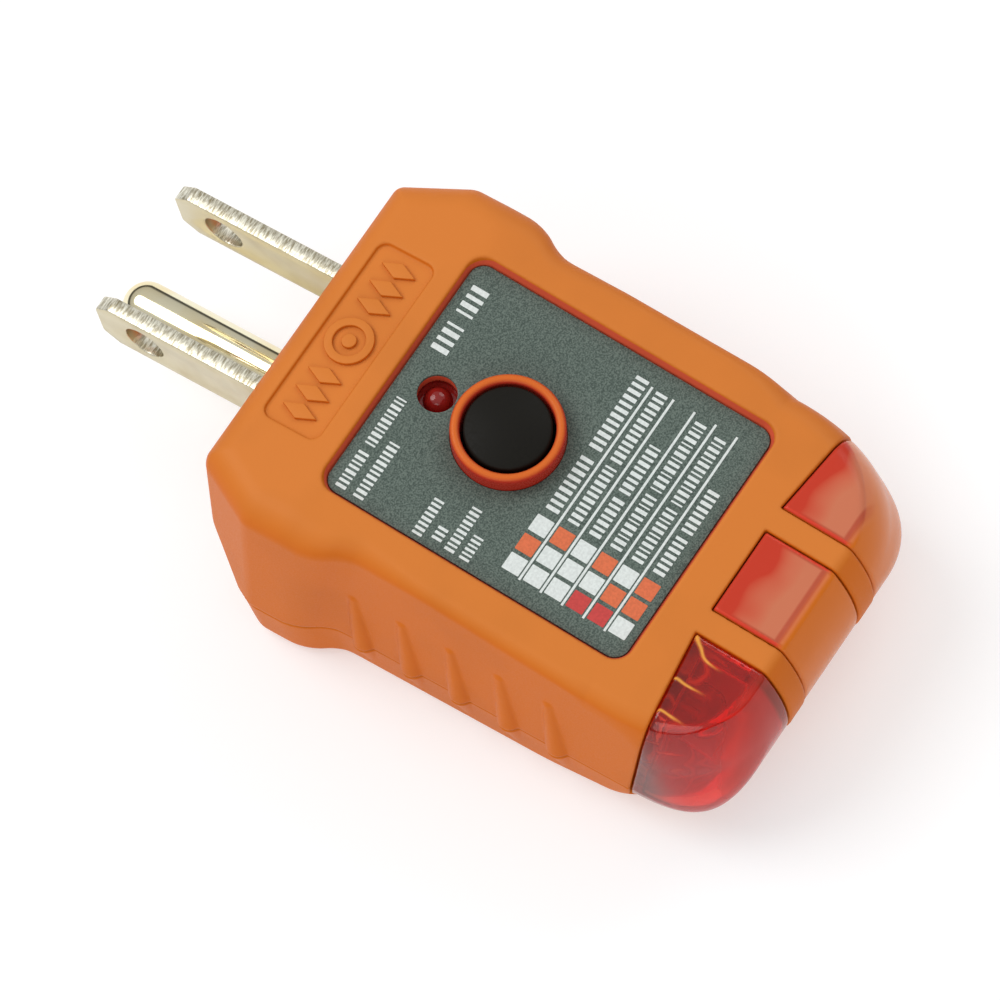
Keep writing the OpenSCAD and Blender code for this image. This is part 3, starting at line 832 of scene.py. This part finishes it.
def clear_lens(name, color, nose, shade):
    """Clear glossy tinted plastic with a milkier nose; gold reflections are painted in its rear corner, shade
    is painted towards the window's rear edge and along its edge next to the middle lens at the front, and the
    window is given a faint painted glow.
    """
    # painted light: this emission colour gives the window a faint red glow
    m = Nodes(name, color, 0.04, IOR=1.49, Specular_IOR_Level=0.2, Emission_Color=(0.6, 0.02, 0.008, 1))
    along, window = m.along_window(), m.window_mask()
    # painted reflection: gold streaks in the window's rear corner
    painted_reflection_ripple = m.math("ABSOLUTE", m.math("SUBTRACT", m.noise(3.4, 0.5), 0.5))
    rear = m.math("MULTIPLY", m.ramp(along, 0.35, 0.6, 1, 0), window)
    lines = m.math("MULTIPLY", m.ramp(painted_reflection_ripple, 0.012, 0.06, 1, 0), rear)
    front = m.ramp(along, 0.9, 1.15, 0, 1)
    across = m.math("ABSOLUTE", m.part("Object", "X"))
    near_edge = m.ramp(across, OUTER_LENS_X / 1000 + 0.001, OUTER_LENS_X / 1000 + 0.0014, 1, 0)
    edge = m.math("MULTIPLY", near_edge, front)
    # painted shade: the shade colour towards the window's rear edge, and along the edge next to the middle
    # lens at the front
    body = m.mix(m.ramp(along, 0.0, 0.4, 0, 1), shade, color)
    body = m.mix(edge, m.mix(front, body, nose), shade)
    m.into("Base Color", m.mix(lines, body, (0.85, 0.42, 0.07)))
    clear = m.math("MULTIPLY", m.ramp(along, 0.9, 1.1, 0.95, 0.4), m.ramp(window, 0, 1, 0.85, 1.0))
    m.into("Transmission Weight", m.math("SUBTRACT", clear, m.math("MULTIPLY", lines, 0.7)))
    # painted light: a faint glow in the window, standing in for light inside the lens
    m.into("Emission Strength", m.ramp(window, 0, 1, 0.0, 0.1))
    m.bump(m.noise(4.0, 1), 0.03, 0.05)
    return m.material


def plated(name, color, roughness, streak, streak_mm, strength):
    """Nickel plate with faint drawing marks and a warm drift in tone."""
    m = Nodes(name, color, roughness, 1.0)
    lines = m.noise(streak_mm, 3, streak)
    drift = m.noise(4, 2)
    warm = tuple(c * k for c, k in zip(color, (0.97, 0.88, 0.72)))
    m.into("Base Color", m.mix(m.ramp(drift, 0.4, 0.68, 0, 1), color, warm))
    m.into("Roughness", m.ramp(lines, 0.3, 0.7, roughness * 0.7, roughness * 1.5))
    m.bump(lines, strength, 0.02)
    return m.material


def blade_plate():
    """Blade plating: smooth flats, and edges with fine cross-wise shear marks."""
    color = (0.63, 0.56, 0.38)
    m = Nodes("blade_plating", color, 0.2, 1.0)
    flats = m.noise(0.5, 3, (1, 6, 1))
    drift = m.noise(3.5, 2)
    edge = m.math("GREATER_THAN", m.math("ABSOLUTE", m.part("Normal", "Z")), 0.6)
    shear = m.noise(0.2, 3, (5, 1, 5), 0.75)
    plain = m.mix(m.ramp(drift, 0.42, 0.66, 0, 1), color, (0.56, 0.48, 0.30))
    marked = m.mix(m.ramp(shear, 0.38, 0.6, 0, 1), (0.36, 0.31, 0.20), (0.92, 0.89, 0.76))
    m.into("Base Color", m.mix(edge, plain, marked))
    height = m.mix(edge, m.math("MULTIPLY", flats, 0.08), shear)
    m.into("Roughness", m.ramp(edge, 0, 1, 0.33, 0.3))
    m.bump(height, 0.45, 0.06)
    return m.material


def banded(name, body, bands, axis, centre, pitch, half):
    """A lacquered component with coloured bands across its axis."""
    m = Nodes(name, body, 0.28, Coat_Weight=0.3)
    place = m.part("Object", axis)
    color = m.mix(m.ramp(m.noise(1.5, 2), 0.3, 0.7, 0, 1), tuple(0.85 * c for c in body), body)
    for i, band in enumerate(bands):
        middle = centre + (i - (len(bands) - 1) / 2) * pitch
        off = m.math("ABSOLUTE", m.math("SUBTRACT", place, middle))
        color = m.mix(m.math("LESS_THAN", off, half), color, band)
    m.into("Base Color", color)
    return m.material


def simple(name, color, roughness, metallic=0.0, size=0.5, strength=0.1, **sockets):
    """A plain material with a fine, even unevenness in its tone, gloss and relief."""
    m = Nodes(name, color, roughness, metallic, **sockets)
    n = m.noise(size, 2)
    m.into("Base Color", m.mix(m.ramp(n, 0.35, 0.65, 0, 1), tuple(0.85 * c for c in color), color))
    m.into("Roughness", m.ramp(n, 0.3, 0.7, roughness * 0.85, min(1, roughness * 1.2)))
    m.bump(n, strength, 0.03)
    return m.material


ORANGE = (0.66, 0.20, 0.036)
MATERIALS = {
    # The case's side colour is painted shade on its sides; its recess colour is painted shade on the walls of
    # the label's recess.
    "case": moulded_plastic("case_plastic", ORANGE, (0.63, 0.145, 0.008), 0.44, recess=(0.70, 0.10, 0.045)),
    # The ring's side colour is painted shade on its sides.
    "ring": moulded_plastic("ring_plastic", (0.66, 0.14, 0.025), (0.5, 0.035, 0.018), 0.26, 0.02, 0.03),
    "label": label_film(),
    "white": printed("print_white", (0.74, 0.79, 0.77)),
    "print_orange": printed("print_orange", (0.72, 0.16, 0.06)),
    "print_red": printed("print_red", (0.58, 0.055, 0.05)),
    "button": simple("button_plastic", (0.009, 0.008, 0.006), 0.5, 0.0, 0.3, 0.15, Specular_IOR_Level=0.12),
    "amber": tinted_lens("amber_lens", (0.66, 0.055, 0.028), (0.98, 0.30, 0.16), (0.68, 0.165, 0.016)),
    "red": clear_lens("red_lens", (0.84, 0.035, 0.02), (0.6, 0.04, 0.025), (0.3, 0.04, 0.02)),
    "led": simple("led_resin", (0.36, 0.015, 0.012), 0.08, 0.0, 1.0, 0.02, Transmission_Weight=0.3, IOR=1.5),
    "blade": blade_plate(),
    "pin": plated("pin_plating", (0.88, 0.82, 0.60), 0.09, (1, 14, 1), 0.35, 0.05),
    "brass": simple("contact_brass", (0.75, 0.55, 0.25), 0.25, 1.0),
    "spring": simple("spring_steel", (0.6, 0.6, 0.62), 0.3, 1.0),
    "black": moulded_plastic("black_plastic", (0.02, 0.02, 0.022), (0.02, 0.02, 0.022), 0.5),
    "tinned": simple("tinned_wire", (0.75, 0.75, 0.74), 0.25, 1.0),
    "glass": simple("lamp_glass", (0.95, 0.95, 0.95), 0.02, 0.0, 2.0, 0.01,
                    Transmission_Weight=1.0, IOR=1.45),
    "electrode": simple("electrode_metal", (0.5, 0.47, 0.44), 0.4, 1.0),
    "tray": moulded_plastic("white_plastic", (0.80, 0.78, 0.73), (0.80, 0.78, 0.73), 0.45),
    "board": simple("board_laminate", (0.03, 0.2, 0.09), 0.35, 0.0, 0.8, 0.08, Coat_Weight=0.3),
    "wire_black": simple("wire_black", (0.02, 0.02, 0.02), 0.35),
    "wire_white": simple("wire_white", (0.8, 0.8, 0.77), 0.35),
    "wire_green": simple("wire_green", (0.03, 0.25, 0.08), 0.35),
    "screw": simple("screw_steel", (0.5, 0.5, 0.51), 0.3, 1.0, 0.3, 0.15),
}


def component_bands():
    """The banded resistors and diode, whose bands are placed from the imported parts."""
    lo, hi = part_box("resistors")
    MATERIALS["resistor"] = banded("resistor_coat", (0.62, 0.48, 0.28),
                                   [(0.35, 0.05, 0.02), (0.02, 0.02, 0.02), (0.6, 0.1, 0.03),
                                    (0.6, 0.42, 0.08)],
                                   "X", (lo[0] + hi[0]) / 2, 0.00105, 0.00025)
    lo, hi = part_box("load_resistor")
    MATERIALS["load"] = banded("load_resistor_coat", (0.2, 0.38, 0.42),
                               [(0.3, 0.12, 0.03), (0.02, 0.02, 0.02), (0.3, 0.12, 0.03), (0.6, 0.42, 0.08)],
                               "Y", (lo[1] + hi[1]) / 2, 0.0017, 0.0004)
    lo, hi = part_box("diode")
    MATERIALS["diode"] = banded("diode_body", (0.02, 0.02, 0.02), [(0.7, 0.7, 0.68)],
                                "X", (lo[0] + hi[0]) / 2 + 0.0016, 0.001, 0.0003)


component_bands()

# ---- case
REACH_X = 20.6  # the meshed region, a little past the case
REACH_Y = (-56.0, 1.6)


def build_case():
    """The two shells."""
    top = implicit_piece("top_shell_mesh", top_shell_field,
                         (-REACH_X, REACH_Y[0], PART_Z - 0.8), (REACH_X, REACH_Y[1], HEAD_Z + 0.6))
    finish_piece(top, MATERIALS["case"], replaces=["top_shell"])
    base = implicit_piece("bottom_shell_mesh", bottom_shell_field,
                          (-REACH_X, REACH_Y[0], -0.6), (REACH_X, REACH_Y[1], PART_Z + 0.8))
    finish_piece(base, MATERIALS["case"], replaces=["bottom_shell"])


def build_ring():
    """The raised ring round the button, with a lip rolled over its top."""
    inner, outer = BUTTON_R + 0.3, RING_R
    middle, lip_r = (inner + outer) / 2, (outer - inner) / 2
    foot = -TOP_WALL
    profile = [(inner, foot), (outer, foot), (outer, foot + 1.2)]
    profile += arc(middle, 0.7, lip_r, 0, 180, 12) + [(inner, foot)]
    ring = lathe("button_ring", profile, standing_at(BUTTON_V))
    finish_piece(ring, MATERIALS["ring"])


def build_lenses():
    """Two amber lenses and a red one."""
    spans = {"right": (OUTER_LENS_X, FAR, "amber"), "middle": (-MID_LENS_X, MID_LENS_X, "amber"),
             "left": (-FAR, -OUTER_LENS_X, "red")}
    for name, (x0, x1, tint) in spans.items():
        piece = implicit_piece(f"lens_{name}_mesh", lens_field(x0, x1),
                               (max(x0, -REACH_X) - 0.5, REACH_Y[0], LENS_BASE_Z - 0.6),
                               (min(x1, REACH_X) + 0.5, LENS_Y + 5, LENS_TOP_Z + 2.4))
        finish_piece(piece, MATERIALS[tint], replaces=[f"lens_{name}"])


# ---- label
ROWS = ["WOW", "OWW", "WWW", "OWR", "WOR", "OOW"]  # far, middle and near column of each row
SQUARE = 1.72
COLUMN_X = (-5.58, -7.69, -9.8)
ROW_V = -18.6
ROW_PITCH = 2.21
RULE_X = (-10.85, 10.65)
RULE_HALF = 0.11
PRINT_T = 0.03
ROW_WORD_X = -3.9
ROW_WORD_ENDS = (10.9, 10.9, 6.0, 10.0, 9.7, 5.5)
ROW_STROKES = ((0.75, 0.6, 0.7), (0.6, 0.8, 0.65), (0.8, 0.6), (0.65, 0.8, 0.3), (0.7, 0.6, 0.35),
               (0.75, 0.7, 0.6))
# The other words: from x to x, v, height, and the widths that their strokes run through
WORDS = [(3.4, 10.9, -1.95, 1.7, (0.75, 0.55, 0.7, 0.35)), (-12.0, -2.1, -1.75, 1.05, (0.75, 0.6, 0.4)),
         (-12.0, -6.0, -3.6, 1.05, (0.6, 0.75, 0.5)), (-12.1, -8.3, -9.8, 1.0, (0.6, 0.7)),
         (-11.6, -10.0, -11.55, 1.0, (0.65,)), (-11.9, -7.2, -13.05, 1.0, (0.7, 0.5)),
         (-11.9, -9.1, -14.6, 1.0, (0.6, 0.45))]


def label_place(points):
    """Flat label coordinates (x, v, height above its face) to plug-face millimetres."""
    return on_slope(np.asarray(points) + [0, 0, -LABEL_SINK])


def dashes(x0, x1, v, height, widths):
    """A word as a row of thin plain strokes: a stand-in with no letters in it."""
    out = []
    x, i = x0, 0
    while x < x1 - 0.15:
        w = min(0.42 * widths[i % len(widths)] * height, x1 - x)
        out.append(rounded_outline(w, height, 0.05, x + w / 2, v, 2))
        x += w + 0.24 * height
        i += 1
    return out


def word(x0, x1, v, height, widths):
    """The strokes of one entry: long ones are split in two words."""
    if x1 - x0 <= 6:
        return dashes(x0, x1, v, height, widths)
    split = x0 + (x1 - x0) * 0.42
    return dashes(x0, split, v, height, widths) + dashes(split + 0.55 * height, x1, v, height, widths[::-1])


def build_label():
    """The label panel and its print, one piece for each ink."""
    base = plate("label_panel_mesh",
                 [rounded_outline(LABEL_W, LABEL_L, LABEL_R, 0, LABEL_V),
                  circle_outline(0, BUTTON_V, RING_R + GAP / 2, 96), circle_outline(0, LED_V, LED_R, 64)],
                 LABEL_T, lambda p: label_place(p - [0, 0, LABEL_T]), 0.04)
    finish_piece(base, MATERIALS["label"], replaces=["label_panel"])
    marks = {"W": [], "O": [], "R": []}
    for i, row in enumerate(ROWS):
        for x, mark in zip(COLUMN_X, row):
            marks[mark].append(rounded_outline(SQUARE, SQUARE, 0.08, x, ROW_V - i * ROW_PITCH, 2))
    words = list(WORDS)
    for i, (end, strokes) in enumerate(zip(ROW_WORD_ENDS, ROW_STROKES)):
        words.append((ROW_WORD_X, end, ROW_V - i * ROW_PITCH, 1.3 if i == 0 else 1.15, strokes))
    for entry in words:
        marks["W"] += word(*entry)
    left, right = RULE_X
    for i in range(len(ROWS) - 1):
        v = ROW_V - (i + 0.5) * ROW_PITCH
        low, high = v - RULE_HALF, v + RULE_HALF
        marks["W"].append([(left, low), (right, low), (right, high), (left, high)])
    for mark, (name, tint) in {"W": ("print_white_mesh", "white"), "O": ("print_orange_mesh", "print_orange"),
                               "R": ("print_red_mesh", "print_red")}.items():
        piece = plate(name, marks[mark], PRINT_T, lambda p: label_place(p - [0, 0, 0.005]))
        finish_piece(piece, MATERIALS[tint])


SIGN_RINGS = (2.3, 1.5, 0.7)  # the ring's outside and inside, and the dot
LOZENGE_X = 3.9
LOZENGE_PITCH = 2.0
LOZENGE = (0.8, 1.8)  # half its width and half its length


def build_head_sign():
    """A plain ring round a dot between rows of lozenges, raised in the head's recess."""
    def place(p):
        return p + [0, SIGN_Y, HEAD_Z - SIGN_SINK - 0.02]

    disc = [circle_outline(0, 0, r, n) for r, n in zip(SIGN_RINGS, (72, 72, 48))]
    half_w, half_l = LOZENGE
    lozenges = []
    for side in (-1, 1):
        for i in range(3):
            x = side * (LOZENGE_X + i * LOZENGE_PITCH)
            lozenges.append([(x - half_w, 0), (x, -half_l), (x + half_w, 0), (x, half_l)])
    for name, outlines in (("head_sign_disc", disc), ("head_sign_lozenges", lozenges)):
        finish_piece(plate(name, outlines, 0.4, place, 0.1), MATERIALS["case"])


# ---- button and indicator
def build_button():
    """The cap with its domed top, its flange and its stem."""
    edge_r = 0.35
    dome_r, dome_centre = 14.0, -12.4
    face_r = BUTTON_R - edge_r
    rim = dome_centre + math.sqrt(dome_r**2 - face_r**2)
    top = FLANGE_W + FLANGE_T
    chamfer = 0.1
    profile = [(0, STEM_W), (STEM_R, STEM_W), (STEM_R, FLANGE_W), (FLANGE_R - chamfer, FLANGE_W),
               (FLANGE_R, FLANGE_W + chamfer), (FLANGE_R, top - chamfer), (FLANGE_R - chamfer, top),
               (BUTTON_R, top)]
    profile += arc(face_r, rim - edge_r, edge_r, 0, 75, 6)
    steps = 12
    for k in range(1, steps + 1):
        r = face_r * (1 - k / steps)
        profile.append((r, dome_centre + math.sqrt(dome_r**2 - r**2)))
    cap = lathe("button_cap_mesh", profile, standing_at(BUTTON_V), 96, 40)
    finish_piece(cap, MATERIALS["button"], "button", ["button_cap"])


def build_spring():
    """A coil between the board and the flange, with a closed turn at each end."""
    low = BOARD_W + 0.02 + SPRING_WIRE_R
    high = FLANGE_W - 0.02 - SPRING_WIRE_R
    free = high - low - 4 * SPRING_WIRE_R
    steps = 32
    coil = []
    for k in range(steps * SPRING_TURNS + 1):
        turn = k / steps
        z = low + free * min(max(turn - 1, 0), SPRING_TURNS - 2) / (SPRING_TURNS - 2)
        z += 2 * SPRING_WIRE_R * (min(turn, 1) + min(max(turn - SPRING_TURNS + 1, 0), 1))
        a = 2 * math.pi * turn
        coil.append((SPRING_R * math.cos(a), SPRING_R * math.sin(a), z))
    spring = tube("button_spring_mesh", coil, SPRING_WIRE_R, standing_at(BUTTON_V), 10)
    finish_piece(spring, MATERIALS["spring"], replaces=["button_spring"])
    anchor = to_frame(on_slope([[0, BUTTON_V, BOARD_W]]))[0]
    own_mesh(spring)


def build_indicator():
    """A round lamp with a base, a waist, a flange and a domed tip."""
    base_w, waist_w, flange_w, shoulder_w, dome_w = -7.0, -6.1, -3.3, -2.66, -2.8
    base_r, waist_r, flange_r, neck_r, dome_r = 1.75, 1.5, 2.1, 1.35, 1.3
    profile = [(0, base_w), (base_r, base_w), (base_r, waist_w), (waist_r, waist_w), (waist_r, flange_w),
               (flange_r, flange_w), (flange_r, shoulder_w), (neck_r, shoulder_w)]
    profile += arc(0, dome_w, dome_r, 0, 90, 10)[1:]
    profile[-1] = (0, dome_w + dome_r)
    led = lathe("indicator_led_mesh", profile, standing_at(LED_V), 48)
    finish_piece(led, MATERIALS["led"], replaces=["indicator_led"])


# ---- prongs
def build_blades():
    """The two blades, each with a hole, a narrowed tip and a tail that the block holds."""
    half = BLADE_W / 2
    rear, tail = BLOCK_REAR - 1.1, BLOCK_REAR - 3.4
    flange, tail_half = half + 0.6, 2
    tip_r, tip_side, tip_taper = 0.5, 1.4, 1.6
    lower = [(tail, -tail_half), (rear, -tail_half), (rear, -flange), (BLOCK_REAR, -flange),
             (BLOCK_REAR, -half), (BLADE_LEN - tip_taper, -half)]
    lower += arc(BLADE_LEN - tip_r, tip_side - half, tip_r, -55, 0, 4)
    outline = lower + [(x, -y) for x, y in reversed(lower)]
    hole = circle_outline(BLADE_LEN - BLADE_HOLE_BACK, 0, BLADE_HOLE_R, 64)
    for side, name in ((1, "right"), (-1, "left")):
        def place(p, side=side):
            return np.stack([side * BLADE_GAP / 2 + p[:, 2] - BLADE_T / 2, p[:, 0], BLADE_Z + p[:, 1]], 1)

        blade = plate(f"blade_{name}_mesh", [outline, hole], BLADE_T, place, 0.14)
        finish_piece(blade, MATERIALS["blade"], replaces=[f"blade_{name}"])


def build_pin():
    """The round ground pin with a flange in the block and a collar through the case."""
    def place(p):
        return np.stack([p[:, 0], p[:, 2], PART_Z - p[:, 1]], 1)

    collar, flange = PIN_R + PIN_COLLAR, 3.2
    rear, flange_rear = BLOCK_REAR - 2, BLOCK_REAR - 1.2
    collar_end, chamfer = 0.95, 0.1
    profile = [(0, rear), (collar, rear), (collar, flange_rear), (flange, flange_rear),
               (flange, BLOCK_REAR), (collar, BLOCK_REAR), (collar, collar_end - chamfer),
               (collar - chamfer, collar_end), (PIN_R, collar_end)]
    profile += arc(0, PIN_LEN - PIN_R, PIN_R, 0, 90, 14)
    profile[-1] = (0, PIN_LEN)
    pin = lathe("ground_pin_mesh", profile, place, 64)
    finish_piece(pin, MATERIALS["pin"], replaces=["ground_pin"])


# ---- everything else stays as in the CAD
KEPT = {"contact_disc": "brass", "contact_pads": "brass", "led_spacer": "black", "led_leads": "tinned",
        "lamp_right": "glass", "lamp_middle": "glass", "lamp_left": "glass", "lamp_electrodes": "electrode",
        "lamp_leads": "tinned", "lamp_tray": "tray", "circuit_board": "board", "prong_block": "black",
        "line_wire": "wire_black", "neutral_wire": "wire_white", "ground_wire": "wire_green",
        "resistors": "resistor", "load_resistor": "load", "diode": "diode", "case_screws": "screw"}


def dress_cad_nodes():
    """Give each CAD node that stays its material."""
    for node, tint in KEPT.items():
        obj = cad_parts[node]
        if not obj.material_slots:
            obj.data.materials.append(None)
        for slot in obj.material_slots:
            slot.material = MATERIALS[tint]


# ---- stage, light and camera
def build_stage():
    """A plain pale floor just under the object."""
    mesh = bpy.data.meshes.new("floor")
    size = 3.0
    corners = [(-size, -size, 0), (size, -size, 0), (size, size, 0), (-size, size, 0)]
    mesh.from_pydata(corners, [], [(0, 1, 2, 3)])
    floor = link(mesh, "floor")
    floor.location.z = CAD_BOX[0][2] - 0.0002
    paint = Nodes("floor_paint", (0.62, 0.63, 0.64), 0.8, Emission_Color=(1, 1, 1, 1), Emission_Strength=0.42,
                  Specular_IOR_Level=0.2)
    paint.bump(paint.noise(30, 2), 0.02, 0.1)
    floor.data.materials.append(paint.material)


def area_light(name, place, size, power, target=(0, 0, 0.01)):
    """A round soft light that faces the object."""
    light = bpy.data.lights.new(name, "AREA")
    light.shape = "DISK"
    light.size = size
    light.energy = power
    obj = bpy.data.objects.new(name, light)
    bpy.context.scene.collection.objects.link(obj)
    obj.location = place
    obj.rotation_euler = (Vector(target) - Vector(place)).to_track_quat("-Z", "Y").to_euler()


def build_light():
    """A bright room with a darker horizon, so that bare metal has something to reflect."""
    world = bpy.data.worlds.new("studio")
    bpy.context.scene.world = world
    world.use_nodes = True
    tree = world.node_tree
    where = tree.nodes.new("ShaderNodeTexCoord")
    split = tree.nodes.new("ShaderNodeSeparateXYZ")
    ramp = tree.nodes.new("ShaderNodeValToRGB")
    tree.links.new(where.outputs["Generated"], split.inputs["Vector"])
    tree.links.new(split.outputs["Z"], ramp.inputs["Fac"])
    tree.links.new(ramp.outputs["Color"], tree.nodes["Background"].inputs["Color"])
    stops = [(0.0, 0.8), (0.05, 0.15), (0.2, 0.12), (0.32, 0.8), (1.0, 1.0)]
    while len(ramp.color_ramp.elements) < len(stops):
        ramp.color_ramp.elements.new(0.5)
    for element, (at, level) in zip(ramp.color_ramp.elements, stops):
        element.position = at
        element.color = (level, level, level * 0.99, 1)
    tree.nodes["Background"].inputs["Strength"].default_value = 0.66
    area_light("key", (-0.15, 0.50, 0.80), 0.7, 3.8)
    area_light("fill", (-0.75, -0.35, 0.45), 0.7, 1.8)
    area_light("rim", (0.6, -0.1, 0.5), 0.5, 1.0)
    bpy.context.scene.view_settings.view_transform = "Standard"


CAMERA_TARGET = Vector((-0.0016, -0.0042, 0.00995))
CAMERA_DISTANCE = 0.8
CAMERA_AZIMUTH = -39.75
CAMERA_ELEVATION = 62.73
CAMERA_ROLL = -18.67
CAMERA_LENS = 324.0


def build_camera():
    """The camera, by its direction, its distance and its roll about the line of sight."""
    a, e, roll = (math.radians(k) for k in (CAMERA_AZIMUTH, CAMERA_ELEVATION, CAMERA_ROLL))
    back = Vector((math.sin(a) * math.cos(e), -math.cos(a) * math.cos(e), math.sin(e)))
    data = bpy.data.cameras.new("camera")
    data.lens = CAMERA_LENS
    data.sensor_width = 36.0
    data.clip_start = 0.05
    camera = bpy.data.objects.new("camera", data)
    bpy.context.scene.collection.objects.link(camera)
    turn = back.to_track_quat("Z", "Y").to_matrix() @ Matrix.Rotation(roll, 3, "Z")
    camera.matrix_world = Matrix.Translation(CAMERA_TARGET + back * CAMERA_DISTANCE) @ turn.to_4x4()
    bpy.context.scene.camera = camera


build_camera()
build_stage()
build_light()
build_case()
build_ring()
build_lenses()
build_label()
build_head_sign()
build_button()
build_spring()
build_indicator()
build_blades()
build_pin()
dress_cad_nodes()
